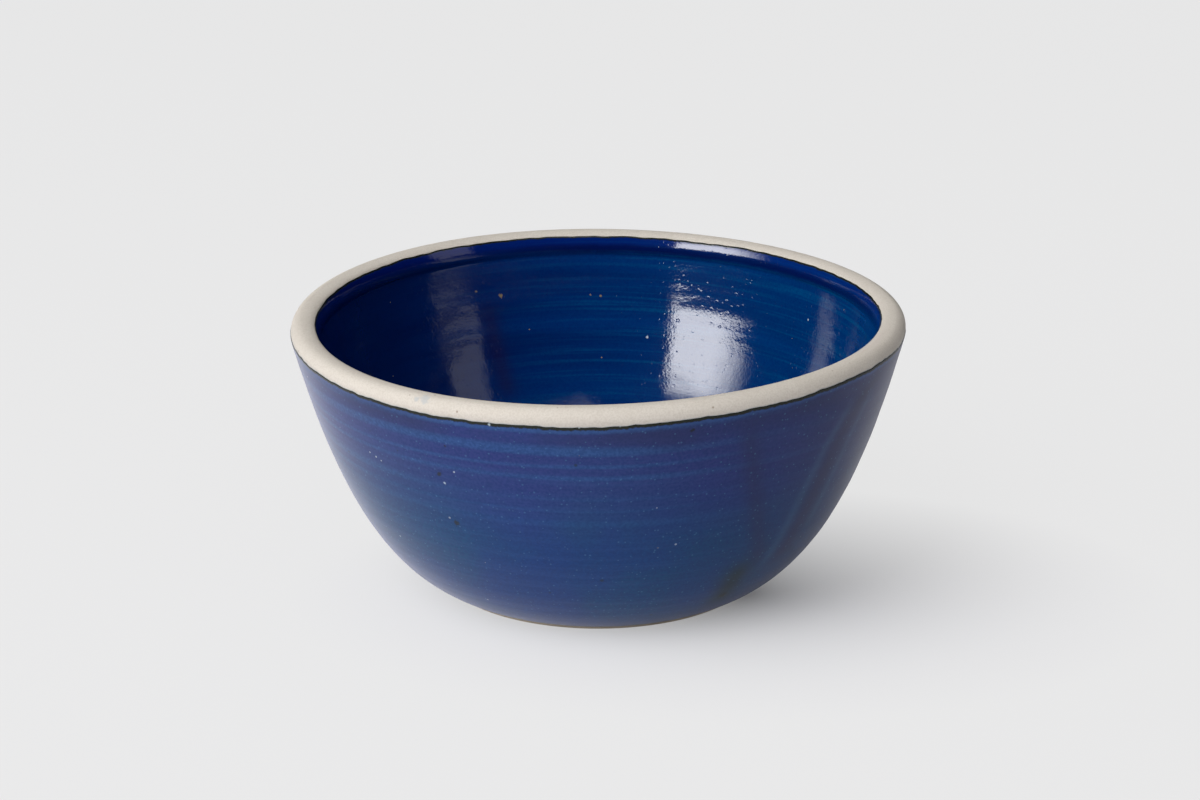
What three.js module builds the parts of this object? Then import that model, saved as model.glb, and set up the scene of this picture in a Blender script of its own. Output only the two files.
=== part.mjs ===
// A hand-thrown stoneware bowl: one thrown and trimmed clay body under two separate coats of glaze.
// Millimetres, +Z up. The origin is the centre of the circle that the foot stands on.

import * as THREE from 'three';

const degrees = THREE.MathUtils.degToRad;

// Overall form
const rimDiameter = 150; // outside, at the widest part of the lip
const bowlHeight = 67.5; // foot to lip, before the lip's hand-made rise and fall
const footDiameter = 80.8;

// Outer wall, which leaves the foot low and ends leaning out under the lip
const footLift = degrees(23.8); // the wall's angle from level at the foot
const footSweep = 21; // how far the wall holds towards that angle
const rimFlare = degrees(14.5); // the wall's lean from upright at the lip
const rimSweep = 24.5; // how far the wall holds towards that lean

// Lip, a bare band with a rounded outer edge and a top that rolls over to the inside
const lipWidth = 6;
const lipRound = 2.8;
const lipFall = 0.85; // from the lip's crest to its inner edge
const lipRoll = 1; // the level top turns down this far from its inner edge

// Bead, the thickened roll inside the lip, slightly undercut where the wall starts
const beadHeight = 5.25;
const beadLean = degrees(33); // its top face's lean from upright
const beadShoulder = 1.8; // how far it holds towards that lean
const beadReach = 1; // how far it is drawn in over the wall below it
const beadTuck = 1.5; // how high its underside is

// Inner wall and floor
const wallThickness = 5.7; // just under the bead
const innerLean = degrees(10.5); // the wall's lean from upright under the bead
const innerSweep = 19; // how far the wall holds towards that lean
const floorThickness = 7;
const floorInset = 11; // the flat floor ends this far inside the foot's edge
const floorSweep = 27.5; // how far the floor's level holds into the wall

// Foot, a flat trimmed ring round a shallow recess
const footEdge = 0.7; // bare upright edge under the outer coat
const footChamfer = 0.4;
const footRingWidth = 8;
const footRecess = 2;
const recessSlope = 1.4; // how far the recess narrows on its way up

// Coats of glaze
const glazeDepth = 0.45;
const glazeFade = 2.5; // the coat reaches its full depth this far from its bare edge

// Hand-thrown unevenness of the lip, which fades out down the wall
const lipLean = 0.73;
const lipLeanTowards = degrees(-12);
const lipSaddle = 0.57;
const lipSaddleTowards = degrees(-50);
const evenHeight = 12; // below this the bowl is evenly round

// Facets
const turnSteps = 56;
const outerSteps = 16;
const innerSteps = 16;
const beadSteps = 6;
const lipSteps = 7;
const lipTopSteps = 3;

const point = (radius, height) => new THREE.Vector2(radius, height);
const along = (start, angle, length) => point(
  start.x + length * Math.cos(angle),
  start.y + length * Math.sin(angle),
);
const upright = Math.PI / 2;
const rimRadius = rimDiameter / 2;
const footRadius = footDiameter / 2;

// Points on a curve, crowded towards both ends, where a coat runs out.
function crowdedPoints(curve, steps) {
  const points = [];
  for (let i = 0; i <= steps; i += 1) {
    const share = (1 - Math.cos((Math.PI * i) / steps)) / 2;
    points.push(curve.getPoint(share));
  }
  return points;
}

// The outer coat's surface, from the foot's edge up to the lip's round.
const lipCentre = point(rimRadius - lipRound, bowlHeight - lipRound);
const wallTop = along(lipCentre, -rimFlare, lipRound);
const wallFoot = point(footRadius, footEdge);
const outerSurface = crowdedPoints(new THREE.CubicBezierCurve(
  wallFoot,
  along(wallFoot, footLift, footSweep),
  along(wallTop, -upright - rimFlare, rimSweep),
  wallTop,
), outerSteps);

// The lip's bare clay, from the wall's top over the round and across the top, without its two end points.
const lipCrest = point(lipCentre.x, bowlHeight);
const lipInner = point(rimRadius - lipWidth, bowlHeight - lipFall);
const lipTurn = upright + rimFlare;
const lipSurface = [];
for (let i = 1; i <= lipSteps; i += 1) {
  lipSurface.push(along(lipCentre, lipTurn * (i / lipSteps) - rimFlare, lipRound));
}
const lipTop = new THREE.QuadraticBezierCurve(
  lipCrest,
  point(lipInner.x + lipRoll, bowlHeight),
  lipInner,
).getPoints(lipTopSteps);
lipSurface.push(...lipTop.slice(1, -1));

// The inner coat's surface, from the lip's inner edge round the bead, down the wall and over the floor.
const beadRootHeight = lipInner.y - beadHeight;
const outerRadiusAtRoot = wallTop.x - (wallTop.y - beadRootHeight) * Math.tan(rimFlare);
const beadRoot = point(outerRadiusAtRoot - wallThickness / Math.cos(rimFlare), beadRootHeight);
const beadSurface = new THREE.CubicBezierCurve(
  lipInner,
  along(lipInner, -upright - beadLean, beadShoulder),
  point(beadRoot.x - beadReach, beadRoot.y + beadTuck),
  beadRoot,
).getPoints(beadSteps);

const floorHeight = footRecess + floorThickness;
const floorEdge = point(footRadius - floorInset, floorHeight);
const innerWall = crowdedPoints(new THREE.CubicBezierCurve(
  beadRoot,
  along(beadRoot, -upright - innerLean, innerSweep),
  along(floorEdge, 0, floorSweep),
  floorEdge,
), innerSteps);
const innerSurface = [...beadSurface, ...innerWall.slice(1), point(0, floorHeight)];

// The clay under a coat: the coat's surface moved into the clay by the coat's depth, which runs out to
// nothing at each bare edge. Going up the outside and down the inside, the clay is on the left.
function clayUnder(surface, bareEdges) {
  return surface.map((spot, i) => {
    const before = surface[Math.max(i - 1, 0)];
    const after = surface[Math.min(i + 1, surface.length - 1)];
    const way = after.clone().sub(before).normalize();
    const fromEdge = Math.min(...bareEdges.map((edge) => spot.distanceTo(edge)));
    const depth = glazeDepth * Math.sqrt(Math.min(1, fromEdge / glazeFade));
    return point(spot.x - depth * way.y, spot.y + depth * way.x);
  });
}

const outerClay = clayUnder(outerSurface, [wallFoot, wallTop]);
const innerClay = clayUnder(innerSurface, [lipInner]);

// The underside, from the recess's centre out over the foot ring to the bare edge.
const ringInner = footRadius - footRingWidth;
const underside = [
  point(0, footRecess),
  point(ringInner - recessSlope, footRecess),
  point(ringInner, 0),
  point(footRadius - footChamfer, 0),
  point(footRadius, footChamfer),
];

// Lets the lip lean to one side and rise and fall twice round the bowl.
function unevenLip(geometry) {
  const spots = geometry.attributes.position;
  for (let i = 0; i < spots.count; i += 1) {
    const height = spots.getZ(i);
    const turn = Math.atan2(spots.getY(i), spots.getX(i));
    const share = Math.max(0, (height - evenHeight) / (bowlHeight - evenHeight)) ** 2;
    const lean = lipLean * Math.cos(turn - lipLeanTowards);
    const saddle = lipSaddle * Math.cos(2 * (turn - lipSaddleTowards));
    spots.setZ(i, height + share * (lean + saddle));
  }
}

// Turns a section about the upright axis. The section runs up the outside and down the inside of the solid.
function turned(section) {
  const geometry = new THREE.LatheGeometry(section, turnSteps);
  geometry.rotateX(upright);
  unevenLip(geometry);
  geometry.computeVertexNormals();
  return geometry;
}

// A coat's section starts along the clay that it covers, so that both have the same facets there.
// It then runs round the coat the other way from the clay's section, so its facets are turned over.
function turnedCoat(section) {
  const geometry = turned(section);
  const corners = geometry.index;
  for (let i = 0; i < corners.count; i += 3) {
    const second = corners.getX(i + 1);
    corners.setX(i + 1, corners.getX(i + 2));
    corners.setX(i + 2, second);
  }
  geometry.computeVertexNormals();
  return geometry;
}

const bareClay = new THREE.MeshStandardMaterial({ color: '#cbc3b5', roughness: 0.85, metalness: 0 });
const glossCobalt = new THREE.MeshStandardMaterial({ color: '#0b2668', roughness: 0.12, metalness: 0 });
const satinCobalt = new THREE.MeshStandardMaterial({ color: '#2a437f', roughness: 0.38, metalness: 0 });

const bowl = new THREE.Group();

const claySection = [...underside, ...outerClay, ...lipSurface, ...innerClay];
const clayBody = new THREE.Mesh(turned(claySection), bareClay);
clayBody.name = 'clay_body';
bowl.add(clayBody);

const innerFace = innerSurface.slice().reverse();
const innerGlaze = new THREE.Mesh(turnedCoat([...innerClay, ...innerFace]), glossCobalt);
innerGlaze.name = 'inner_glaze';
bowl.add(innerGlaze);

const outerFace = outerSurface.slice(0, -1).reverse();
const outerGlaze = new THREE.Mesh(turnedCoat([...outerClay, ...outerFace]), satinCobalt);
outerGlaze.name = 'outer_glaze';
bowl.add(outerGlaze);

export default bowl;
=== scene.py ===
import math

import bpy
import numpy as np
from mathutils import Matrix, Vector


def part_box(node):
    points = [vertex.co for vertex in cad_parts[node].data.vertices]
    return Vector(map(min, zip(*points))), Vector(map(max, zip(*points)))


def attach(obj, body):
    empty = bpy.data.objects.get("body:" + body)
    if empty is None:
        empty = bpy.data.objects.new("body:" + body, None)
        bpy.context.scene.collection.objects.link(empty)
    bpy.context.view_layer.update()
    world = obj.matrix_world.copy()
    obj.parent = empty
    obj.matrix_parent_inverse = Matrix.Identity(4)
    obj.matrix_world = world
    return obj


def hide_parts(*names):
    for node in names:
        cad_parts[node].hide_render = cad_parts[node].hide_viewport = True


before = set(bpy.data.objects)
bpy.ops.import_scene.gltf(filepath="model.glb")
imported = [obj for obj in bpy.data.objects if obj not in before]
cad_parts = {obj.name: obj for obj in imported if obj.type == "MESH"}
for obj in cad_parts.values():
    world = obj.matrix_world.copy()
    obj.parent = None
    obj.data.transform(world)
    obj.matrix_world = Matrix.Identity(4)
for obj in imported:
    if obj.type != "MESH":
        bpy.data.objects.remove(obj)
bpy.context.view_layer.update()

mm = 0.001

# The thrown section, in millimetres and degrees, as the frame has it
bowlForm = {
    "height": 67.5,
    "footRadius": 40.4,
    "footEdge": 0.7,
    "footChamfer": 0.4,
    "footRingWidth": 8.0,
    "footRecess": 2.0,
    "recessSlope": 1.4,
    "footLift": 23.8,
    "footSweep": 21.0,
    "rimFlare": 14.5,
    "rimSweep": 24.5,
    "lipWidth": 6.0,
    "lipRound": 2.8,
    "lipFall": 0.85,
    "lipRoll": 1.0,
    "beadHeight": 5.25,
    "beadLean": 33.0,
    "beadShoulder": 1.8,
    "beadReach": 1.0,
    "beadTuck": 1.5,
    "wallThickness": 5.7,
    "innerLean": 10.5,
    "innerSweep": 19.0,
    "floorThickness": 7.0,
    "floorInset": 11.0,
    "floorSweep": 27.5,
    "softening": 0.16,  # how far a corner is rounded over
    "softeningReach": 4,  # the rounding ends at this many times that
    "spacing": 0.05,  # between points on the section
    "curvePoints": 400,
    "lipRoundPoints": 60,
    "lipTopPoints": 30,
    "turnSteps": 512,  # round the bowl
}

# The lip's hand-made rise and fall, which fades out down the wall
lipWaver = {
    "lean": 0.73,
    "leanTowards": -12.0,
    "saddle": 0.57,
    "saddleTowards": -50.0,
    "evenHeight": 12.0,
}

# Marks of throwing and trimming in the clay, which both coats follow
throwingMarks = {
    "outerDepth": 0.010,
    "outerPitch": 4.3,
    "innerDepth": 0.006,
    "innerPitch": 3.7,
    "ringSway": 0.9,  # how far the rings stray from an even climb
    "ringSwayWaves": (1, 9, 1.0),
    "ringDrift": 1.3,  # how far they crowd and spread on the way up
    "ringDriftPace": 0.37,
    "ringDriftSway": 0.5,
    "outerStart": (3.0, 14.0),  # the marks grow here, from the foot's edge
    "outerEnd": (-4.0, 0.5),  # and run out here, from the wall's top
    "innerStart": (0.5, 6.0),  # from the bead's root
    "innerEnd": (-30.0, -12.0),  # from the floor's centre
    "dentDepth": 0.03,
    "dentAround": 11,
    "dentRun": 17.0,
    "dents": 18,
    "thumbDepth": 0.07,  # one dent under the bead
    "thumbTurn": 66.0,
    "thumbBelow": 0.5,
    "thumbReach": 8.0,
    "thumbHeight": 1.5,
    "seed": 11,
}


def along(start, degrees, length):
    angle = math.radians(degrees)
    return start + length * np.array([math.cos(angle), math.sin(angle)])


def bezier(corners, count):
    t = np.linspace(0, 1, count)[:, None]
    a, b, c, d = corners
    return (1 - t) ** 3 * a + 3 * t * (1 - t) ** 2 * b + 3 * t * t * (1 - t) * c + t ** 3 * d


def smoothStep(low, high, value):
    share = np.clip((value - low) / (high - low), 0, 1)
    return share * share * (3 - 2 * share)


def bell(distance, width):
    return np.exp(-0.5 * (distance / width) ** 2)


def lengthAlong(points):
    return np.concatenate([[0], np.cumsum(np.hypot(*np.diff(points, axis=0).T))])


# Turns a polyline into evenly spaced points with its corners rounded over, and keeps its two ends.
def softened(line, form):
    run = lengthAlong(line)
    even = np.arange(0, run[-1], form["spacing"])
    points = np.column_stack([np.interp(even, run, line[:, i]) for i in (0, 1)])
    reach = int(form["softeningReach"] * form["softening"] / form["spacing"])
    weights = bell(np.arange(-reach, reach + 1) * form["spacing"], form["softening"])
    weights /= weights.sum()
    ahead = 2 * points[0] - points[reach:0:-1]
    behind = 2 * points[-1] - points[-2:-reach - 2:-1]
    padded = np.vstack([ahead, points, behind])
    return np.column_stack([np.convolve(padded[:, i], weights, "valid") for i in (0, 1)])


# The whole skin from the recess's centre, out over the foot, up the outside, over the lip and down to
# the floor.
def throwSection(form, rimRadius):
    footRadius = form["footRadius"]
    ringInner = footRadius - form["footRingWidth"]
    recess = form["footRecess"]
    underside = np.array([
        [0, recess],
        [ringInner - form["recessSlope"], recess],
        [ringInner, 0],
        [footRadius - form["footChamfer"], 0],
        [footRadius, form["footChamfer"]],
        [footRadius, form["footEdge"]],
    ])
    lipRound = form["lipRound"]
    lipCentre = np.array([rimRadius - lipRound, form["height"] - lipRound])
    wallTop = along(lipCentre, -form["rimFlare"], lipRound)
    wallFoot = underside[-1]
    outerWall = bezier([
        wallFoot,
        along(wallFoot, form["footLift"], form["footSweep"]),
        along(wallTop, -90 - form["rimFlare"], form["rimSweep"]),
        wallTop,
    ], form["curvePoints"])
    lipInner = np.array([rimRadius - form["lipWidth"], form["height"] - form["lipFall"]])
    lipAngles = np.linspace(-form["rimFlare"], 90, form["lipRoundPoints"])
    lipArc = np.array([along(lipCentre, angle, lipRound) for angle in lipAngles])
    turnOver = np.array([lipInner[0] + form["lipRoll"], form["height"]])
    t = np.linspace(0, 1, form["lipTopPoints"])[:, None]
    lipTop = (1 - t) ** 2 * lipArc[-1] + 2 * t * (1 - t) * turnOver + t * t * lipInner
    rootHeight = lipInner[1] - form["beadHeight"]
    flare = math.radians(form["rimFlare"])
    outerRadius = wallTop[0] - (wallTop[1] - rootHeight) * math.tan(flare)
    beadRoot = np.array([outerRadius - form["wallThickness"] / math.cos(flare), rootHeight])
    bead = bezier([
        lipInner,
        along(lipInner, -90 - form["beadLean"], form["beadShoulder"]),
        beadRoot + np.array([-form["beadReach"], form["beadTuck"]]),
        beadRoot,
    ], form["curvePoints"])
    floorHeight = recess + form["floorThickness"]
    floorEdge = np.array([footRadius - form["floorInset"], floorHeight])
    innerWall = bezier([
        beadRoot,
        along(beadRoot, -90 - form["innerLean"], form["innerSweep"]),
        along(floorEdge, 0, form["floorSweep"]),
        floorEdge,
    ], form["curvePoints"])
    floor = np.array([[0, floorHeight]])
    line = np.vstack([underside, outerWall[1:], lipArc[1:], lipTop[1:], bead[1:], innerWall[1:], floor])
    points = softened(line, form)
    points[0, 0] = points[-1, 0] = 0
    run = lengthAlong(points)
    way = np.gradient(points, axis=0)
    way /= np.hypot(*way.T)[:, None]

    def runAt(spot):
        return run[np.hypot(*(points - spot).T).argmin()]

    return {
        "run": run,
        "radius": points[:, 0],
        "height": points[:, 1],
        "outRadius": way[:, 1],  # outward, away from the clay
        "outHeight": -way[:, 0],
        "footEdge": runAt(wallFoot),
        "wallTop": runAt(wallTop),
        "lipInner": runAt(lipInner),
        "beadRoot": runAt(beadRoot),
        "end": run[-1],
    }


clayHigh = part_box("clay_body")[1]
section = throwSection(bowlForm, clayHigh.x / mm)
turns = np.linspace(-math.pi, math.pi, bowlForm["turnSteps"], endpoint=False)[:, None]
print("section thrown,", len(section["run"]), "points")


def sampled(name, run):
    return np.interp(run, section["run"], section[name])


# A smooth step over a stretch of the section, which is given from one of its named places.
def growing(run, origin, stretch):
    low, high = stretch
    return smoothStep(section[origin] + low, section[origin] + high, run)


# A wavering value round the bowl: whole waves with fixed random phases, finer ones smaller.
def waver(turn, slowest, finest, fall, seed):
    draw = np.random.default_rng(seed)
    waves = np.arange(slowest, finest + 1)
    phases = draw.uniform(0, 2 * math.pi, len(waves))
    sizes = waves ** -fall
    total = (sizes * np.cos(waves * turn + phases)).sum(axis=1, keepdims=True)
    return total / math.sqrt((sizes ** 2).sum() / 2)


# Rings left by the thrower's fingers, as a wave from -1 to 1 that climbs one ring in each turn.
def ringWave(run, pitch, way, seed):
    marks = throwingMarks
    climb = 2 * math.pi * run / pitch
    sway = waver(turns, *marks["ringSwayWaves"], seed)
    drift = np.sin(marks["ringDriftPace"] * climb + marks["ringDriftSway"] * sway)
    return np.sin(climb + way * turns + marks["ringSway"] * sway + marks["ringDrift"] * drift)


def outerRings(run):
    return ringWave(run, throwingMarks["outerPitch"], 1, throwingMarks["seed"] + 1)


def innerRings(run):
    return ringWave(run, throwingMarks["innerPitch"], -1, throwingMarks["seed"] + 2)


def thrownRelief(run, marks):
    draw = np.random.default_rng(marks["seed"])
    outside = growing(run, "footEdge", marks["outerStart"]) * (1 - growing(run, "wallTop", marks["outerEnd"]))
    inside = growing(run, "beadRoot", marks["innerStart"]) * (1 - growing(run, "end", marks["innerEnd"]))
    relief = marks["outerDepth"] * outside * outerRings(run)
    relief = relief + marks["innerDepth"] * inside * innerRings(run)
    dents = 0
    for i in range(marks["dents"]):
        around = draw.integers(1, marks["dentAround"])
        climb = draw.normal() * 2 * math.pi / marks["dentRun"]
        dents = dents + np.cos(around * turns + climb * run + draw.uniform(0, 2 * math.pi))
    relief = relief + marks["dentDepth"] * (outside + inside) * dents / math.sqrt(marks["dents"])
    aside = (turns - math.radians(marks["thumbTurn"])) * sampled("radius", run)
    below = run - section["beadRoot"] - marks["thumbBelow"]
    thumb = bell(aside, marks["thumbReach"]) * bell(below, marks["thumbHeight"])
    return relief - marks["thumbDepth"] * thumb


def lipRise(height, turn):
    fullHeight = bowlForm["height"] - lipWaver["evenHeight"]
    share = np.clip((height - lipWaver["evenHeight"]) / fullHeight, 0, None) ** 2
    lean = lipWaver["lean"] * np.cos(turn - math.radians(lipWaver["leanTowards"]))
    saddle = lipWaver["saddle"] * np.cos(2 * (turn - math.radians(lipWaver["saddleTowards"])))
    return share * (lean + saddle)


# Points on the bowl for each turn and run along the section, raised by rise from the skin.
def onSkin(run, rise):
    lift = rise + thrownRelief(run, throwingMarks)
    radius = sampled("radius", run) + lift * sampled("outRadius", run)
    height = sampled("height", run) + lift * sampled("outHeight", run)
    height = height + lipRise(height, turns)
    radius = np.maximum(radius, 0)
    return np.stack([radius * np.cos(turns), radius * np.sin(turns), height], axis=-1) * mm


# A turned mesh from rings of points. A section that ends on the axis at both ends is closed by fans there.
def turnedMesh(name, grid, values, onAxis):
    count, steps = grid.shape[:2]
    first, last = (1, steps - 1) if onAxis else (0, steps)
    body = grid[:, first:last]
    width = last - first
    vertices = body.reshape(-1, 3)
    index = np.arange(count * width).reshape(count, width)
    near, far = index, np.roll(index, -1, axis=0)
    if not onAxis:
        near = np.hstack([near, near[:, :1]])
        far = np.hstack([far, far[:, :1]])
    quads = np.stack([near[:, :-1], far[:, :-1], far[:, 1:], near[:, 1:]], axis=-1).reshape(-1, 4)
    faces = quads.tolist()
    if onAxis:
        tip = len(vertices)
        vertices = np.vstack([vertices, grid[:, 0].mean(axis=0), grid[:, -1].mean(axis=0)])
        faces += np.stack([np.full(count, tip), far[:, 0], near[:, 0]], axis=-1).tolist()
        faces += np.stack([np.full(count, tip + 1), near[:, -1], far[:, -1]], axis=-1).tolist()
    mesh = bpy.data.meshes.new(name)
    mesh.from_pydata(vertices.tolist(), [], faces)
    for key, value in values.items():
        whole = np.broadcast_to(value, (count, steps))
        flat = whole[:, first:last].reshape(-1)
        if onAxis:
            flat = np.concatenate([flat, [whole[:, 0].mean(), whole[:, -1].mean()]])
        mesh.attributes.new(key, "FLOAT", "POINT").data.foreach_set("value", flat.astype(np.float32))
    mesh.shade_smooth()
    mesh.update()
    piece = bpy.data.objects.new(name, mesh)
    bpy.context.scene.collection.objects.link(piece)
    return piece


# Shares from 0 to 1, close together at the ends that are asked for.
def crowded(count, atStart=True, atEnd=True, power=2.2):
    even = np.linspace(-1 if atStart else 0, 1 if atEnd else 0, count)
    spread = np.sign(even) * (1 - (1 - np.abs(even)) ** power)
    return (spread - spread[0]) / (spread[-1] - spread[0])


# Where each coat ends, and how it runs out over the clay. The outer line is the run past the wall's top, by
# turn in degrees; waves are the slowest and finest round the bowl and how fast they get smaller.
coatEdges = {
    "lipSink": 0.12,  # bare clay lies this far below the face of the coats
    "rollWidth": 0.45,
    "depth": 0.45,
    "fade": 2.5,
    "backGap": 0.01,  # between a coat's hidden face and the clay
    "outerLine": [(-200, 0.9), (-160, 0.8), (-136, 0.1), (-112, -0.45), (-92, -0.7), (-82, -0.1),
                  (-60, 0.2), (-42, 0.8), (-28, 0.9), (-15, 0.4), (40, 0.1), (110, 0.5), (160, 0.9)],
    "outerJitter": 0.1,
    "outerWaves": (5, 180, 0.5),
    "innerLine": 0.15,
    "innerJitter": 0.09,
    "innerWaves": (3, 120, 0.6),
    "footLine": 0.35,
    "footJitter": 0.16,
    "footWaves": (2, 90, 0.7),
    "lineSteps": 720,
    "lineSoftening": 7,  # steps over which the outer line's bends are rounded
    "lineReach": 30,
    "seed": 23,
}


def smoothRound(turn, knots, edges):
    angles = np.radians([k[0] for k in knots])
    heights = np.array([k[1] for k in knots])
    around = np.linspace(-math.pi, math.pi, edges["lineSteps"], endpoint=False)
    line = np.interp(around, angles, heights, period=2 * math.pi)
    reach = edges["lineReach"]
    weights = bell(np.arange(-reach, reach + 1), edges["lineSoftening"])
    weights /= weights.sum()
    line = np.convolve(np.concatenate([line[-reach:], line, line[:reach]]), weights, "valid")
    return np.interp(turn, around, line, period=2 * math.pi)


def jitter(name, seedStep):
    waves = waver(turns, *coatEdges[name + "Waves"], coatEdges["seed"] + seedStep)
    return coatEdges[name + "Jitter"] * waves


outerLine = section["wallTop"] + smoothRound(turns, coatEdges["outerLine"], coatEdges) + jitter("outer", 0)
innerLine = section["lipInner"] + coatEdges["innerLine"] + jitter("inner", 1)
footLine = section["footEdge"] + coatEdges["footLine"] + jitter("foot", 2)


# How far the clay's face lies below the skin, by its distance under a coat from that coat's edge.
def clayDepth(under):
    share = np.sqrt(np.clip(under / coatEdges["fade"], 0, 1))
    return coatEdges["lipSink"] + (coatEdges["depth"] - coatEdges["lipSink"]) * share


# The face of a coat, rolled down onto the clay at its edge.
def coatRise(fromEdge):
    share = np.clip(fromEdge / coatEdges["rollWidth"], 0, 1)
    return -coatEdges["lipSink"] * (1 - np.sqrt(1 - (1 - share) ** 2))


# Materials: small helpers, then the effects that several finishes share

def place(tree, kind, values=None, **settings):
    node = tree.nodes.new(kind)
    for name, value in settings.items():
        setattr(node, name, value)
    for socket, value in (values or {}).items():
        if isinstance(value, bpy.types.NodeSocket):
            tree.links.new(value, node.inputs[socket])
        else:
            node.inputs[socket].default_value = value
    return node


def calculate(tree, operation, first, second=0.0, clamp=False):
    values = {0: first, 1: second}
    return place(tree, "ShaderNodeMath", values, operation=operation, use_clamp=clamp).outputs[0]


def vectorMath(tree, operation, first, second=(0, 0, 0)):
    return place(tree, "ShaderNodeVectorMath", {0: first, 1: second}, operation=operation).outputs


def ranged(tree, value, low, high, bottom=0.0, top=1.0):
    values = {"Value": value, "From Min": low, "From Max": high, "To Min": bottom, "To Max": top}
    return place(tree, "ShaderNodeMapRange", values, interpolation_type="SMOOTHSTEP").outputs[0]


# Lays a colour over a tone where a mask shows, at a share of its full strength.
def laid(tree, tone, mask, over, share=1.0):
    if share != 1.0:
        mask = calculate(tree, "MULTIPLY", mask, share)
    return place(tree, "ShaderNodeMix", {0: mask, 6: tone, 7: over}, data_type="RGBA").outputs[2]


def colour(red, green, blue):
    return (red, green, blue, 1.0)


def attribute(tree, name):
    return place(tree, "ShaderNodeAttribute", attribute_name=name).outputs["Fac"]


def objectSpot(tree):
    return place(tree, "ShaderNodeTexCoord").outputs["Object"]


# How far a spot is to the right of the bowl's axis, in metres.
def sideways(tree):
    return place(tree, "ShaderNodeSeparateXYZ", {0: objectSpot(tree)}).outputs[0]


def newGroup(name, inputs, outputs):
    tree = bpy.data.node_groups.new(name, "ShaderNodeTree")
    for socket, value in inputs.items():
        tree.interface.new_socket(socket, in_out="INPUT", socket_type="NodeSocketFloat").default_value = value
    for socket in outputs:
        tree.interface.new_socket(socket, in_out="OUTPUT", socket_type="NodeSocketFloat")
    return tree, tree.nodes.new("NodeGroupInput").outputs, tree.nodes.new("NodeGroupOutput").inputs


def useGroup(tree, group, values):
    return place(tree, "ShaderNodeGroup", values, node_tree=group).outputs


# Streaks drawn out round the bowl by the turning wheel; scales are waves to the metre.
def throwingStreaks():
    tree, given, result = newGroup(
        "throwing streaks",
        {"Around": 25.0, "Upright": 400.0, "Low": 0.45, "High": 0.7, "Detail": 3.0},
        ["Streak", "Wave"],
    )
    parts = place(tree, "ShaderNodeSeparateXYZ", {0: objectSpot(tree)}).outputs
    squeezed = place(tree, "ShaderNodeCombineXYZ", {
        0: calculate(tree, "MULTIPLY", parts[0], given["Around"]),
        1: calculate(tree, "MULTIPLY", parts[1], given["Around"]),
        2: calculate(tree, "MULTIPLY", parts[2], given["Upright"]),
    }).outputs[0]
    noise = place(tree, "ShaderNodeTexNoise", {"Vector": squeezed, "Scale": 1.0, "Detail": given["Detail"]})
    tree.links.new(ranged(tree, noise.outputs[0], given["Low"], given["High"]), result["Streak"])
    tree.links.new(noise.outputs[0], result["Wave"])
    return tree


# Fine even grain, for colour and relief.
def fineGrain():
    inputs = {"Scale": 1500.0, "Detail": 4.0, "Low": 0.3, "High": 0.7}
    tree, given, result = newGroup("fine grain", inputs, ["Grain"])
    values = {"Vector": objectSpot(tree), "Scale": given["Scale"], "Detail": given["Detail"]}
    noise = place(tree, "ShaderNodeTexNoise", values).outputs[0]
    tree.links.new(ranged(tree, noise, given["Low"], given["High"]), result["Grain"])
    return tree


# Scattered pin specks; only the given share of the cells holds one. Tone is a random value for each.
def pinSpecks():
    smallest, core = 0.35, 0.6  # shares of the given size, and of the speck that shows in full
    inputs = {"Scale": 400.0, "Share": 0.1, "Size": 0.2}
    tree, given, result = newGroup("pin specks", inputs, ["Speck", "Tone"])
    cells = place(tree, "ShaderNodeTexVoronoi", {"Vector": objectSpot(tree), "Scale": given["Scale"]})
    draw = place(tree, "ShaderNodeSeparateColor", {0: cells.outputs["Color"]}).outputs
    chosen = calculate(tree, "LESS_THAN", draw[0], given["Share"])
    size = calculate(tree, "MULTIPLY", given["Size"], ranged(tree, draw[1], 0.0, 1.0, smallest, 1.0))
    soft = calculate(tree, "MULTIPLY", size, core)
    speck = calculate(tree, "SUBTRACT", 1.0, ranged(tree, cells.outputs["Distance"], soft, size))
    tree.links.new(calculate(tree, "MULTIPLY", speck, chosen), result["Speck"])
    tree.links.new(draw[2], result["Tone"])
    return tree


# Bands beside a coat's edge, whose distance in millimetres the mesh holds. A noise breaks them up.
def edgeBands():
    breaking = {"Scale": 1300.0, "Detail": 5.0, "Roughness": 0.7}
    full = {"Line": 0.55, "Band": 0.4}  # the share of each that shows in full
    tree, given, result = newGroup("edge bands", {"Line": 0.5, "Band": 1.5, "Break": 0.4}, list(full))
    noise = place(tree, "ShaderNodeTexNoise", {"Vector": objectSpot(tree), **breaking}).outputs[0]
    shift = calculate(tree, "MULTIPLY", calculate(tree, "SUBTRACT", noise, 0.5), given["Break"])
    distance = calculate(tree, "ADD", attribute(tree, "edgeDistance"), shift)
    for name, share in full.items():
        start = calculate(tree, "MULTIPLY", given[name], share)
        band = calculate(tree, "SUBTRACT", 1.0, ranged(tree, distance, start, given[name]))
        tree.links.new(band, result[name])
    return tree


streaks, grain, specks, bands = throwingStreaks(), fineGrain(), pinSpecks(), edgeBands()


def newMaterial(name, roughness):
    material = bpy.data.materials.new(name)
    material.use_nodes = True
    tree = material.node_tree
    shader = tree.nodes["Principled BSDF"]
    shader.inputs["Roughness"].default_value = roughness
    return material, tree, shader


def addRelief(tree, shader, height, distance, strength=1.0):
    bump = place(tree, "ShaderNodeBump", {"Strength": strength, "Distance": distance, "Height": height})
    tree.links.new(bump.outputs[0], shader.inputs["Normal"])


# The run along the section at which the outer or the inner face has a height in millimetres.
def faceRun(height, inside):
    run = section["run"]
    face = run > section["beadRoot"] if inside else (run > section["footEdge"]) & (run < section["wallTop"])
    return run[np.where(face, np.abs(section["height"] - height), np.inf).argmin()]


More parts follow.
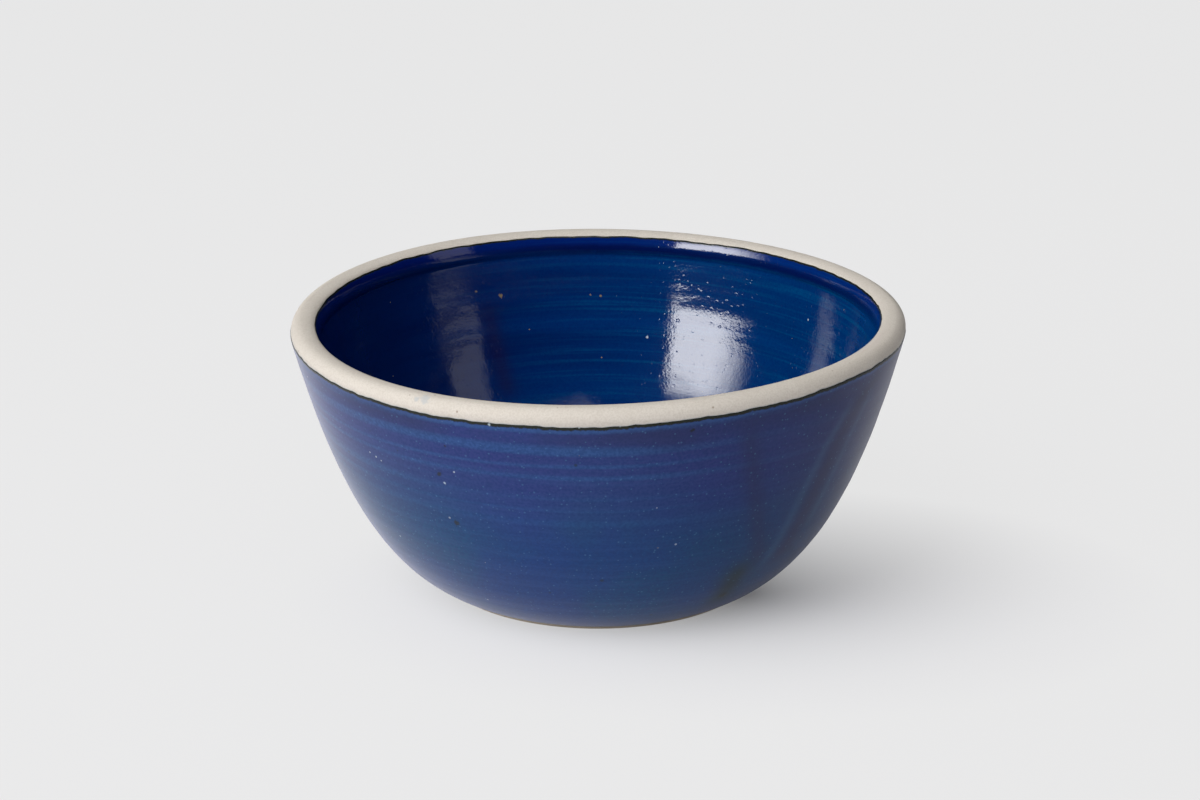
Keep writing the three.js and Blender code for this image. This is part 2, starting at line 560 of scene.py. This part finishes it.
def skinSpot(turn, run):
    angle = math.radians(turn)
    radius, height = sampled("radius", run), sampled("height", run)
    return Vector((radius * math.cos(angle), radius * math.sin(angle), height + lipRise(height, angle))) * mm


# Places for marks on a face, from turn in degrees, height and size in millimetres.
def onFace(marks, inside):
    return [(skinSpot(turn, faceRun(height, inside)), size) for turn, height, size in marks]


# Places for marks on the lip, from turn in degrees, share of the lip's width and size in millimetres.
def onLip(marks):
    width = section["lipInner"] - section["wallTop"]
    return [(skinSpot(turn, section["wallTop"] + share * width), size) for turn, share, size in marks]


markShape = {
    "raggedScale": 1300.0,
    "raggedDetail": 2.0,
    "ragged": (0.3, 0.7, 0.65, 1.5),  # the noise's range, and how far it draws a mark's edge out or in
    "core": 0.35,  # the share of a mark that shows in full
}


# Ragged round marks at a few places.
def placedMarks(tree, marks):
    spot = objectSpot(tree)
    noise = {"Vector": spot, "Scale": markShape["raggedScale"], "Detail": markShape["raggedDetail"]}
    noise = place(tree, "ShaderNodeTexNoise", noise).outputs[0]
    ragged = ranged(tree, noise, *markShape["ragged"])
    total = 0.0
    for centre, size in marks:
        away = vectorMath(tree, "DISTANCE", spot, centre)["Value"]
        away = calculate(tree, "MULTIPLY", away, ragged)
        mark = calculate(tree, "SUBTRACT", 1.0, ranged(tree, away, markShape["core"] * size * mm, size * mm))
        total = calculate(tree, "MAXIMUM", mark, total)
    return total


def finishPiece(piece, material, slot):
    piece.data.materials.append(material)
    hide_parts(slot["node"])
    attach(piece, "root")
    print(piece.name, "made,", len(piece.data.polygons), "faces")


# How much a run in a coat shows. Each follows a few (turn, height) points, in degrees and millimetres.
runFade = {"low": 3.0, "high": 4.0}  # half of the height over which it fades at its two ends


def runMask(run, strokes):
    radius, height = sampled("radius", run), sampled("height", run)
    mask = np.zeros_like(run)
    for stroke in strokes:
        angles = np.radians([p[0] for p in stroke["path"]])
        heights = np.array([p[1] for p in stroke["path"]], float)
        order = heights.argsort()
        centre = np.interp(height, heights[order], angles[order])
        low, high = heights.min(), heights.max()
        ends = smoothStep(low - runFade["low"], low + runFade["low"], height)
        ends = ends * (1 - smoothStep(high - runFade["high"], high + runFade["high"], height))
        across = bell((turns - centre) * radius, stroke["width"])
        mask = np.maximum(mask, stroke["share"] * ends * across)
    return mask


# A coat's rise from the skin: rolled down at its edges on its face, close over the clay on its hidden back.
def coatSkin(under, isFace):
    return np.where(isFace, coatRise(under), coatEdges["backGap"] - clayDepth(under))


# The clay body: bare cream stoneware at the foot and lip, stained beside the coats and sunk under them
clayBody = {
    "cream": colour(0.60, 0.555, 0.495),
    "sand": colour(0.50, 0.45, 0.39),
    "iron": colour(0.20, 0.13, 0.08),
    "halo": colour(0.36, 0.38, 0.38),
    "footTan": colour(0.42, 0.33, 0.23),
    "smear": colour(0.29, 0.35, 0.41),
    "roughness": 0.85,
    "fine": {"Scale": 2600.0, "Detail": 5.0, "Low": 0.35, "High": 0.7},
    "fineShare": 0.7,
    "broad": {"Scale": 160.0, "Detail": 3.0, "Low": 0.35, "High": 0.75},
    "broadShare": 0.22,
    "edge": {"Line": 0.2, "Band": 0.45, "Break": 0.5},
    "bandShare": 0.3,
    "lineShare": 0.6,
    "ironSpecks": {"Scale": 520.0, "Share": 0.06, "Size": 0.17},
    "ironShare": 0.6,
    "smears": [(-121.6, 0.40, 1.6), (-123.2, 0.34, 1.1)],
    "smearShare": 0.42,
    "tanMarks": [(-114.7, 0.18, 0.4), (-43.0, 0.5, 0.35), (-70.0, 0.25, 0.35), (-97.0, 0.55, 0.3)],
    "tanShare": 0.7,
    "footShare": 0.7,
    "reliefDepth": 0.00003,
    "reliefStrength": 0.6,
    "ringRun": 12.0,  # the outer part of the underside, which has finer steps
    "ringEnd": 0.02,  # and ends this far before the foot's edge
    "recessSteps": 14,
    "ringSteps": 60,
    "hiddenOutSteps": 26,
    "lipSteps": 64,
    "hiddenInSteps": 30,
    "footSeat": (-0.3, 0.0),  # below this the foot keeps its place on the table
    "footTint": (1.0, 3.0),
}


def clayMaterial(finish):
    material, tree, shader = newMaterial("bare_clay", finish["roughness"])
    fine = useGroup(tree, grain, finish["fine"])["Grain"]
    broad = useGroup(tree, grain, finish["broad"])["Grain"]
    iron = useGroup(tree, specks, finish["ironSpecks"])["Speck"]
    edge = useGroup(tree, bands, finish["edge"])
    stained = attribute(tree, "outerHalf")
    band = calculate(tree, "MULTIPLY", edge["Band"], stained)
    line = calculate(tree, "MULTIPLY", edge["Line"], stained)
    smears = placedMarks(tree, onLip(finish["smears"]))
    tanMarks = placedMarks(tree, onLip(finish["tanMarks"]))
    tone = laid(tree, finish["cream"], fine, finish["sand"], finish["fineShare"])
    tone = laid(tree, tone, broad, finish["sand"], finish["broadShare"])
    tone = laid(tree, tone, band, finish["halo"], finish["bandShare"])
    tone = laid(tree, tone, line, finish["halo"], finish["lineShare"])
    tone = laid(tree, tone, iron, finish["iron"], finish["ironShare"])
    tone = laid(tree, tone, smears, finish["smear"], finish["smearShare"])
    tone = laid(tree, tone, tanMarks, finish["iron"], finish["tanShare"])
    tone = laid(tree, tone, attribute(tree, "foot"), finish["footTan"], finish["footShare"])
    tree.links.new(tone, shader.inputs["Base Color"])
    addRelief(tree, shader, fine, finish["reliefDepth"], finish["reliefStrength"])
    return material


def makeClayBody(settings):
    ringStart = section["footEdge"] - settings["ringRun"]
    ringEnd = section["footEdge"] - settings["ringEnd"]
    recess = np.linspace(0, ringStart, settings["recessSteps"])[:-1]
    footRun = np.concatenate([recess, np.linspace(ringStart, ringEnd, settings["ringSteps"])])
    footRun = np.broadcast_to(footRun, (len(turns), len(footRun)))
    hiddenOut = footLine + (outerLine - footLine) * crowded(settings["hiddenOutSteps"])[1:-1]
    lip = outerLine + (innerLine - outerLine) * crowded(settings["lipSteps"])
    hiddenIn = innerLine + (section["end"] - innerLine) * crowded(settings["hiddenInSteps"], atEnd=False)[1:]
    run = np.hstack([footRun, footLine, hiddenOut, lip, hiddenIn])
    underOut = np.minimum(run - footLine, outerLine - run)
    under = np.maximum(underOut, run - innerLine)
    rise = -clayDepth(np.maximum(under, 0)) * growing(run, "footEdge", settings["footSeat"])
    bareLip = np.minimum(run - outerLine, innerLine - run)
    values = {
        "edgeDistance": np.where(run < footLine, footLine - run, bareLip),
        "foot": 1 - growing(run, "footEdge", settings["footTint"]),
        "outerHalf": (run < (outerLine + innerLine) / 2) * 1.0,
    }
    piece = turnedMesh("clay_bowl", onSkin(run, rise), values, True)
    finishPiece(piece, clayMaterial(settings), {"node": "clay_body", "slot": "bare_clay"})


# Glossy cobalt inside the bowl, with teal drawn out along the throwing lines and fine grit in its face.
# A side is a range across the bowl in metres, then the share at its two ends.
innerGlaze = {
    "cobalt": colour(0.0, 0.021, 0.145),
    "navy": colour(0.0, 0.009, 0.095),
    "night": colour(0.001, 0.003, 0.055),
    "teal": colour(0.0, 0.064, 0.195),
    "ultramarine": colour(0.001, 0.010, 0.150),
    "edge": colour(0.012, 0.016, 0.014),
    "ochre": colour(0.30, 0.22, 0.09),
    "purple": colour(0.016, 0.007, 0.035),
    "white": colour(0.45, 0.52, 0.60),
    "roughness": 0.07,
    "fineStreaks": {"Around": 26.0, "Upright": 1300.0, "Low": 0.45, "High": 0.72, "Detail": 5.0},
    "broadStreaks": {"Around": 12.0, "Upright": 130.0, "Low": 0.3, "High": 0.7, "Detail": 3.0},
    "patches": {"Scale": 38.0, "Detail": 3.0, "Low": 0.3, "High": 0.65},
    "patchRange": (0.4, 1.0),  # how much of the fine streaks shows outside and inside a patch
    "streakShare": 0.8,
    "tealShare": 0.32,  # teal that is there without a streak
    # the glaze's own teal, shown mostly on the right inside: a painted lighter side where the light falls
    "tealLitSide": (-0.05, 0.05, 0.15, 1.0),
    # painted shade: the inside is drawn darker towards the left
    "shadedLeftSide": (-0.02, -0.06, 0.0, 0.7),
    "mottle": {"Scale": 1500.0, "Detail": 3.0, "Low": 0.35, "High": 0.7},
    "mottleShare": 0.3,
    "edgeBands": {"Line": 0.7, "Band": 4.8, "Break": 0.8},
    "bandShare": 0.55,
    "beadShadeStart": (1.6, 3.0),  # painted shade: a dark band under the lip where the bead's undercut is in shade, in millimetres from the coat's edge
    "beadShadeEnd": (3.6, 5.2),
    "beadShadeSide": (-0.045, 0.0, 0.25, 1.0),
    "beadShadeShare": 0.75,
    "pins": {"Scale": 260.0, "Share": 0.3, "Size": 0.06},
    "ochreMarks": [(113.0, 52.0, 0.8), (89.5, 50.5, 0.5), (91.8, 50.8, 0.4), (119.0, 54.0, 0.4)],
    "ochreShare": 0.75,
    "whiteMarks": [(78.0, 40.3, 0.5), (68.2, 54.8, 0.3), (71.0, 54.7, 0.3), (35.2, 52.6, 0.4)],
    "pits": [(70.8, 45.3, 0.6), (60.0, 45.1, 0.5), (55.2, 46.5, 0.55), (51.5, 45.9, 0.65), (70.2, 37.3, 0.3)],
    "grit": {"Scale": 800.0, "Share": 0.5, "Size": 0.4},
    "peel": {"Scale": 1500.0, "Detail": 2.0, "Low": 0.2, "High": 0.8},
    "wavy": {"Scale": 210.0, "Detail": 1.0, "Low": 0.2, "High": 0.8},
    "gritHeight": 0.6,  # heights are times the relief's depth
    "peelHeight": 0.4,
    "streakHeight": 0.12,
    "wavyHeight": 1.1,
    "pitHeight": -5.0,
    "reliefDepth": 0.00002,
    "purpleRuns": [
        {"path": [(116.5, 49), (116, 40), (114.5, 27)], "width": 2.0, "share": 0.4},
    ],
    "faceSteps": 150,
    "facePower": 1.8,  # how far the steps crowd towards the coat's edge
    "backSteps": 24,
}


def innerMaterial(finish):
    material, tree, shader = newMaterial("gloss_cobalt_glaze", finish["roughness"])
    fine = useGroup(tree, streaks, finish["fineStreaks"])
    broad = useGroup(tree, streaks, finish["broadStreaks"])["Streak"]
    patch = useGroup(tree, grain, finish["patches"])["Grain"]
    mottle = useGroup(tree, grain, finish["mottle"])["Grain"]
    pins = useGroup(tree, specks, finish["pins"])["Speck"]
    edge = useGroup(tree, bands, finish["edgeBands"])
    ochre = placedMarks(tree, onFace(finish["ochreMarks"], True))
    white = placedMarks(tree, onFace(finish["whiteMarks"], True))
    side = sideways(tree)
    fromEdge = attribute(tree, "edgeDistance")
    # Painted shade under the bead: a dark band below the coat's edge, weaker towards the left
    beadShadeEnd = ranged(tree, fromEdge, *finish["beadShadeEnd"])
    beadShade = calculate(tree, "SUBTRACT", ranged(tree, fromEdge, *finish["beadShadeStart"]), beadShadeEnd)
    beadShade = calculate(tree, "MULTIPLY", beadShade, ranged(tree, side, *finish["beadShadeSide"]))
    teal = calculate(tree, "MULTIPLY", fine["Streak"], ranged(tree, patch, 0.0, 1.0, *finish["patchRange"]))
    teal = calculate(tree, "MULTIPLY", teal, finish["streakShare"])
    teal = calculate(tree, "ADD", teal, finish["tealShare"])
    # teal weakened towards the left: painted light on the right, where the light falls
    teal = calculate(tree, "MULTIPLY", teal, ranged(tree, side, *finish["tealLitSide"]))
    tone = laid(tree, finish["navy"], broad, finish["cobalt"])
    tone = laid(tree, tone, teal, finish["teal"])
    # painted shade: darker towards the left inside
    tone = laid(tree, tone, ranged(tree, side, *finish["shadedLeftSide"]), finish["night"])
    tone = laid(tree, tone, mottle, finish["navy"], finish["mottleShare"])
    tone = laid(tree, tone, edge["Band"], finish["ultramarine"], finish["bandShare"])
    # painted shade under the bead
    tone = laid(tree, tone, beadShade, finish["night"], finish["beadShadeShare"])
    tone = laid(tree, tone, attribute(tree, "purpleRun"), finish["purple"])
    tone = laid(tree, tone, edge["Line"], finish["edge"])
    tone = laid(tree, tone, pins, finish["ochre"])
    tone = laid(tree, tone, ochre, finish["ochre"], finish["ochreShare"])
    tone = laid(tree, tone, white, finish["white"])
    tree.links.new(tone, shader.inputs["Base Color"])
    heights = {
        "grit": useGroup(tree, specks, finish["grit"])["Speck"],
        "peel": useGroup(tree, grain, finish["peel"])["Grain"],
        "streak": fine["Wave"],
        "wavy": useGroup(tree, grain, finish["wavy"])["Grain"],
        "pit": placedMarks(tree, onFace(finish["pits"], True)),
    }
    uneven = 0.0
    for name, height in heights.items():
        height = calculate(tree, "MULTIPLY", height, finish[name + "Height"])
        uneven = calculate(tree, "ADD", height, uneven)
    addRelief(tree, shader, uneven, finish["reliefDepth"])
    return material


def makeInnerGlaze(settings):
    length = section["end"] - innerLine
    face = innerLine + length * crowded(settings["faceSteps"], atEnd=False, power=settings["facePower"])
    back = innerLine + length * crowded(settings["backSteps"], atEnd=False)[1:]
    run = np.hstack([back[:, ::-1], face])
    under = run - innerLine
    isFace = np.arange(run.shape[1]) >= back.shape[1]
    values = {"edgeDistance": under, "purpleRun": runMask(run, settings["purpleRuns"])}
    piece = turnedMesh("inner_coat", onSkin(run, coatSkin(under, isFace)), values, True)
    finishPiece(piece, innerMaterial(settings), {"node": "inner_glaze", "slot": "gloss_cobalt_glaze"})


# Satin cobalt outside, lighter where the throwing rings break through, with purple runs and an olive drip
outerGlaze = {
    "cobalt": colour(0.008, 0.042, 0.172),
    "teal": colour(0.004, 0.055, 0.148),
    "deep": colour(0.006, 0.026, 0.115),
    "violet": colour(0.031, 0.036, 0.168),
    "light": colour(0.032, 0.086, 0.250),
    "dusty": colour(0.060, 0.170, 0.310),
    "purple": colour(0.022, 0.027, 0.078),
    "olive": colour(0.016, 0.030, 0.034),
    "edge": colour(0.017, 0.020, 0.015),
    "pale": colour(0.42, 0.50, 0.54),
    "ochre": colour(0.16, 0.12, 0.05),
    "roughness": 0.25,
    "shine": 0.14,
    "sheen": 0.32,
    "sheenRoughness": 0.35,
    "sheenTint": colour(0.85, 0.86, 1.0),
    "patches": {"Scale": 30.0, "Detail": 3.0, "Low": 0.35, "High": 0.65},
    "broadStreaks": {"Around": 11.0, "Upright": 190.0, "Low": 0.35, "High": 0.65, "Detail": 3.0},
    "ringWaver": 2.4,  # how far the broad streaks shift the rings
    "ringRange": (1.1, 2.4),
    "ringSide": (0.055, -0.01, 0.35, 0.9),
    "upperShare": 0.75,
    "mottle": {"Scale": 1500.0, "Detail": 4.0, "Low": 0.35, "High": 0.65},
    "mottleShare": 0.5,
    "fineStreaks": {"Around": 26.0, "Upright": 1000.0, "Low": 0.42, "High": 0.72, "Detail": 4.0},
    "streakShare": 0.17,
    "stainBands": {"Line": 3.0, "Band": 7.0, "Break": 1.5},
    "stainShare": 0.55,
    # purple towards the right: partly the glaze's own purple, partly painted shade on the side away from the
    # light
    "purpleShadeSide": (0.0, 0.075, 0.0, 0.6),
    "edgeBands": {"Line": 1.0, "Band": 2.1, "Break": 1.2},
    "bandShare": 0.6,
    "dust": {"Scale": 820.0, "Share": 0.85, "Size": 0.24},
    "dustShare": 0.4,
    "blots": {"Scale": 170.0, "Share": 0.3, "Size": 0.1},
    "blotShare": 0.7,
    "oliveMarks": [(-120.8, 47.6, 0.8), (-119.5, 34.1, 1.0), (-118.2, 55.8, 0.5), (-73.5, 61.2, 0.7),
                   (-56.0, 10.2, 1.6)],
    "oliveShare": 0.8,
    "pins": {"Scale": 230.0, "Share": 0.25, "Size": 0.085},
    "pinShare": 0.5,
    "pinOchre": (0.7, 0.75),  # pins whose random tone is past this are ochre
    "whiteMarks": [(-108.8, 63.2, 0.4), (-117.3, 49.0, 0.35), (-120.0, 45.3, 0.42), (-86.2, 63.6, 0.3),
                   (-138.5, 47.9, 0.28), (-136.8, 47.3, 0.3), (-135.5, 46.7, 0.28)],
    "whiteShare": 0.8,
    "reliefDepth": 0.000006,
    "purpleRuns": [
        {"path": [(-62.5, 60), (-61.8, 56), (-59.3, 45), (-55.8, 33), (-51, 20)],
         "width": 1.9, "share": 0.5},
        {"path": [(-77, 62), (-76, 57)], "width": 6.5, "share": 0.5},
        {"path": [(-28.5, 61.6), (-33.8, 57.4), (-38, 48.8), (-40.5, 36.6), (-41.8, 26), (-43.5, 17.7)],
         "width": 2.6, "share": 0.7},
    ],
    "paleRuns": [
        {"path": [(-37.5, 57.4), (-42, 48.8), (-45, 36.6), (-46.5, 26), (-48, 18)],
         "width": 1.2, "share": 0.14},
        {"path": [(-29.8, 57.4), (-33.6, 48.8), (-36, 36.6), (-37.5, 26)],
         "width": 0.9, "share": 0.12},
    ],
    "oliveRuns": [
        {"path": [(-55.6, 20.5), (-55.8, 16), (-56.2, 11), (-55.8, 7)], "width": 2.9, "share": 0.85},
    ],
    "upper": (26.0, 54.0),  # heights between which the banded upper part begins
    "faceSteps": 130,
    "facePower": 1.9,  # how far the steps crowd towards both edges
    "backSteps": 24,
}


def outerMaterial(finish):
    material, tree, shader = newMaterial("satin_cobalt_glaze", finish["roughness"])
    shader.inputs["Specular IOR Level"].default_value = finish["shine"]
    shader.inputs["Sheen Weight"].default_value = finish["sheen"]
    shader.inputs["Sheen Roughness"].default_value = finish["sheenRoughness"]
    shader.inputs["Sheen Tint"].default_value = finish["sheenTint"]
    fine = useGroup(tree, streaks, finish["fineStreaks"])
    broad = useGroup(tree, streaks, finish["broadStreaks"])["Wave"]
    patch = useGroup(tree, grain, finish["patches"])["Grain"]
    mottle = useGroup(tree, grain, finish["mottle"])["Grain"]
    dust = useGroup(tree, specks, finish["dust"])["Speck"]
    blots = useGroup(tree, specks, finish["blots"])["Speck"]
    pins = useGroup(tree, specks, finish["pins"])
    edge = useGroup(tree, bands, finish["edgeBands"])
    stain = calculate(tree, "MULTIPLY", useGroup(tree, bands, finish["stainBands"])["Band"], patch)
    olive = placedMarks(tree, onFace(finish["oliveMarks"], False))
    white = placedMarks(tree, onFace(finish["whiteMarks"], False))
    side = sideways(tree)
    ring = calculate(tree, "MULTIPLY", broad, finish["ringWaver"])
    ring = calculate(tree, "ADD", attribute(tree, "ridge"), ring)
    lines = ranged(tree, ring, *finish["ringRange"])
    lines = calculate(tree, "MULTIPLY", lines, ranged(tree, side, *finish["ringSide"]))
    banded = laid(tree, finish["violet"], lines, finish["light"])
    tone = laid(tree, finish["cobalt"], patch, finish["teal"])
    tone = laid(tree, tone, attribute(tree, "upper"), banded, finish["upperShare"])
    tone = laid(tree, tone, mottle, finish["deep"], finish["mottleShare"])
    tone = laid(tree, tone, fine["Streak"], finish["light"], finish["streakShare"])
    tone = laid(tree, tone, stain, finish["purple"], finish["stainShare"])
    # darker purple towards the right: the glaze's own purple and painted shade on the side away from the
    # light
    tone = laid(tree, tone, ranged(tree, side, *finish["purpleShadeSide"]), finish["purple"])
    tone = laid(tree, tone, attribute(tree, "purpleRun"), finish["purple"])
    tone = laid(tree, tone, attribute(tree, "paleRun"), finish["dusty"])
    tone = laid(tree, tone, attribute(tree, "oliveDrip"), finish["olive"])
    tone = laid(tree, tone, edge["Band"], finish["light"], finish["bandShare"])
    tone = laid(tree, tone, dust, finish["dusty"], finish["dustShare"])
    tone = laid(tree, tone, blots, finish["olive"], finish["blotShare"])
    tone = laid(tree, tone, olive, finish["edge"], finish["oliveShare"])
    tone = laid(tree, tone, edge["Line"], finish["edge"])
    pinTone = laid(tree, finish["pale"], ranged(tree, pins["Tone"], *finish["pinOchre"]), finish["ochre"])
    tone = laid(tree, tone, pins["Speck"], pinTone, finish["pinShare"])
    tone = laid(tree, tone, white, finish["pale"], finish["whiteShare"])
    tree.links.new(tone, shader.inputs["Base Color"])
    addRelief(tree, shader, fine["Wave"], finish["reliefDepth"])
    return material


def makeOuterGlaze(settings):
    face = footLine + (outerLine - footLine) * crowded(settings["faceSteps"], power=settings["facePower"])
    back = footLine + (outerLine - footLine) * crowded(settings["backSteps"])[1:-1]
    run = np.hstack([face, back[:, ::-1]])
    under = np.minimum(run - footLine, outerLine - run)
    isFace = np.arange(run.shape[1]) < face.shape[1]
    values = {
        "edgeDistance": outerLine - run,
        "upper": smoothStep(*settings["upper"], sampled("height", run)),
        "ridge": outerRings(run),
        "purpleRun": runMask(run, settings["purpleRuns"]),
        "paleRun": runMask(run, settings["paleRuns"]),
        "oliveDrip": runMask(run, settings["oliveRuns"]),
    }
    piece = turnedMesh("outer_coat", onSkin(run, coatSkin(under, isFace)), values, False)
    finishPiece(piece, outerMaterial(settings), {"node": "outer_glaze", "slot": "satin_cobalt_glaze"})


makeClayBody(clayBody)
makeInnerGlaze(innerGlaze)
makeOuterGlaze(outerGlaze)

# A pale table, which keeps the bowl's shadow. Well away from the bowl most of its look is free of shade.
paleTable = {
    "colour": colour(0.80, 0.795, 0.84),
    "roughness": 0.9,
    "size": 30.0,
    "drop": 0.00005,
    "glow": colour(0.82, 0.82, 0.82),
    "glowMost": 0.92,
    "glowCentre": Vector((0.0335, -0.018, 0.0)),  # where the shadow is deepest
    "glowStretch": Vector((1.0, 1.5, 1.0)),
    "glowReach": 0.110,
    "glowPower": 0.6,
    "glowMirrored": 3.0,  # the shadow is deeper where a coat mirrors it
    "reflectedShadeSide": (-0.02, 0.06, 0.0, 0.5),  # painted shade: how much darker the shadow's side of the table is in what the coats mirror
}


def makeTable(settings):
    half = settings["size"] / 2
    mesh = bpy.data.meshes.new("table")
    corners = [(-half, -half, 0), (half, -half, 0), (half, half, 0), (-half, half, 0)]
    mesh.from_pydata(corners, [], [(0, 1, 2, 3)])
    table = bpy.data.objects.new("table", mesh)
    table.location.z = -settings["drop"]
    bpy.context.scene.collection.objects.link(table)
    material, tree, shader = newMaterial("pale_table", settings["roughness"])
    shader.inputs["Base Color"].default_value = settings["colour"]
    shader.inputs["Specular IOR Level"].default_value = 0.0
    glow = place(tree, "ShaderNodeEmission", {"Color": settings["glow"]})
    dark = place(tree, "ShaderNodeEmission", {"Strength": 0.0})
    rays = place(tree, "ShaderNodeLightPath").outputs
    seen = calculate(tree, "MAXIMUM", rays["Is Camera Ray"], rays["Is Transmission Ray"])
    offset = vectorMath(tree, "SUBTRACT", objectSpot(tree), settings["glowCentre"])[0]
    offset = vectorMath(tree, "MULTIPLY", offset, settings["glowStretch"])[0]
    away = vectorMath(tree, "LENGTH", offset)["Value"]
    away = calculate(tree, "DIVIDE", away, settings["glowReach"], clamp=True)
    away = calculate(tree, "POWER", away, settings["glowPower"])
    share = calculate(tree, "MULTIPLY", away, settings["glowMost"])
    mirrored = calculate(tree, "POWER", share, settings["glowMirrored"])
    mirrored = calculate(tree, "MULTIPLY", rays["Is Glossy Ray"], mirrored)
    share = calculate(tree, "MAXIMUM", calculate(tree, "MULTIPLY", seen, share), mirrored)
    mixed = place(tree, "ShaderNodeMixShader", {0: share, 1: shader.outputs[0], 2: glow.outputs[0]})
    # Painted shade: the table's right side is drawn darker in what the coats mirror
    reflectedShade = ranged(tree, sideways(tree), *settings["reflectedShadeSide"])
    reflectedShade = calculate(tree, "MULTIPLY", reflectedShade, rays["Is Glossy Ray"])
    mixed = place(tree, "ShaderNodeMixShader", {0: reflectedShade, 1: mixed.outputs[0], 2: dark.outputs[0]})
    tree.links.new(mixed.outputs[0], tree.nodes["Material Output"].inputs["Surface"])
    mesh.materials.append(material)


# One soft key light in front to the left, and three lights that only the coats mirror. Azimuths are from the
# camera's side, negative to the left; width and height are degrees seen from the bowl. A fade is the share
# of the light over which it runs out: left and right, then bottom and top.
lights = {
    "key": {
        "azimuth": -45.0, "elevation": 42.0, "distance": 1.1,
        "width": 34.0, "height": 50.0, "radiance": 4.1,
    },
    "softbox": {
        "azimuth": -54.5, "elevation": 26.0, "distance": 12.0,
        "width": 48.0, "height": 34.0, "radiance": 14.0,
        "fade": ((0.5, 0.08), (0.08, 0.5)),
        "taper": 0.22,  # how much narrower its top is than its bottom, from the right
    },
    "card": {
        "azimuth": 68.0, "elevation": 22.0, "distance": 12.0,
        "width": 19.0, "height": 36.0, "radiance": 0.87,
        "roll": -17.0, "fade": ((0.1, 0.1), (0.03, 0.1)),
    },
    "top": {
        "azimuth": -54.0, "elevation": 82.0, "distance": 12.0,
        "width": 90.0, "height": 42.0, "radiance": 1.3,
        "fade": ((0.2, 0.2), (0.2, 0.2)),
    },
}


def softLight(name, settings):
    azimuth, elevation = math.radians(settings["azimuth"]), math.radians(settings["elevation"])
    away = Vector((
        math.sin(azimuth) * math.cos(elevation),
        -math.cos(azimuth) * math.cos(elevation),
        math.sin(elevation),
    ))
    distance = settings["distance"]
    light = bpy.data.lights.new(name, "AREA")
    light.shape = "RECTANGLE"
    light.size = 2 * distance * math.tan(math.radians(settings["width"] / 2))
    light.size_y = 2 * distance * math.tan(math.radians(settings["height"] / 2))
    light.energy = settings["radiance"] * math.pi * light.size * light.size_y
    lamp = bpy.data.objects.new(name, light)
    lamp.location = away * distance
    lamp.rotation_euler = away.to_track_quat("Z", "Y").to_euler()
    bpy.context.scene.collection.objects.link(lamp)
    return lamp


# Lets a soft light fade out towards its sides.
def fadeOut(lamp, margins, taper):
    lamp.data.use_nodes = True
    tree = lamp.data.node_tree
    across = place(tree, "ShaderNodeNewGeometry").outputs["Parametric"]
    parts = place(tree, "ShaderNodeSeparateXYZ", {0: across}).outputs
    tapered = calculate(tree, "ADD", parts[0], calculate(tree, "MULTIPLY", parts[1], taper))
    level = 1.0
    for start, end, (low, high) in zip((parts[0], parts[1]), (tapered, parts[1]), margins):
        level = calculate(tree, "MULTIPLY", ranged(tree, start, 0.0, low), level)
        level = calculate(tree, "MULTIPLY", ranged(tree, end, 1.0, 1.0 - high), level)
    tree.links.new(level, tree.nodes["Emission"].inputs["Strength"])


def makeLights(settings):
    for name, values in settings.items():
        lamp = softLight(name, values)
        if name == "key":
            lamp.visible_glossy = False
            continue
        lamp.visible_diffuse = False
        lamp.rotation_euler.rotate_axis("Z", math.radians(values.get("roll", 0.0)))
        fadeOut(lamp, values["fade"], values.get("taper", 0.0))


# Soft light from all round, stronger from the key light's side
sky = {
    "level": 0.48,
    "tilt": 0.40,  # how much more light comes from the brighter side than from level
    "towards": Vector((-0.85, -0.5, 0.1)),
}


def makeSky(settings):
    world = bpy.data.worlds.new("soft light all round")
    world.use_nodes = True
    bpy.context.scene.world = world
    tree = world.node_tree
    way = place(tree, "ShaderNodeTexCoord").outputs["Generated"]
    facing = vectorMath(tree, "DOT_PRODUCT", way, settings["towards"].normalized())["Value"]
    low, high = settings["level"] - settings["tilt"], settings["level"] + settings["tilt"]
    values = {"Value": facing, "From Min": -1.0, "To Min": low, "To Max": high}
    level = place(tree, "ShaderNodeMapRange", values)
    tree.links.new(level.outputs[0], tree.nodes["Background"].inputs["Strength"])
    tree.nodes["Background"].inputs["Color"].default_value = colour(1.0, 1.0, 1.0)
    world.cycles_visibility.glossy = False


makeTable(paleTable)
makeLights(lights)
makeSky(sky)
print("table and lights set")

# Camera at the photograph's angle
view = {
    "lens": 85.0,
    "sensor": 36.0,
    "nearest": 0.01,
    "elevation": 19.26,
    "distance": 0.7004,
    "target": Vector((0.00046, 0.0, 0.04396)),
}


def makeCamera(settings):
    data = bpy.data.cameras.new("camera")
    data.lens = settings["lens"]
    data.sensor_width = settings["sensor"]
    data.clip_start = settings["nearest"]
    camera = bpy.data.objects.new("camera", data)
    elevation = math.radians(settings["elevation"])
    back = Vector((0, -math.cos(elevation), math.sin(elevation)))
    camera.location = settings["target"] + back * settings["distance"]
    camera.rotation_euler = back.to_track_quat("Z", "Y").to_euler()
    bpy.context.scene.collection.objects.link(camera)
    bpy.context.scene.camera = camera


makeCamera(view)
bpy.context.scene.view_settings.view_transform = "Standard"
print("camera placed")
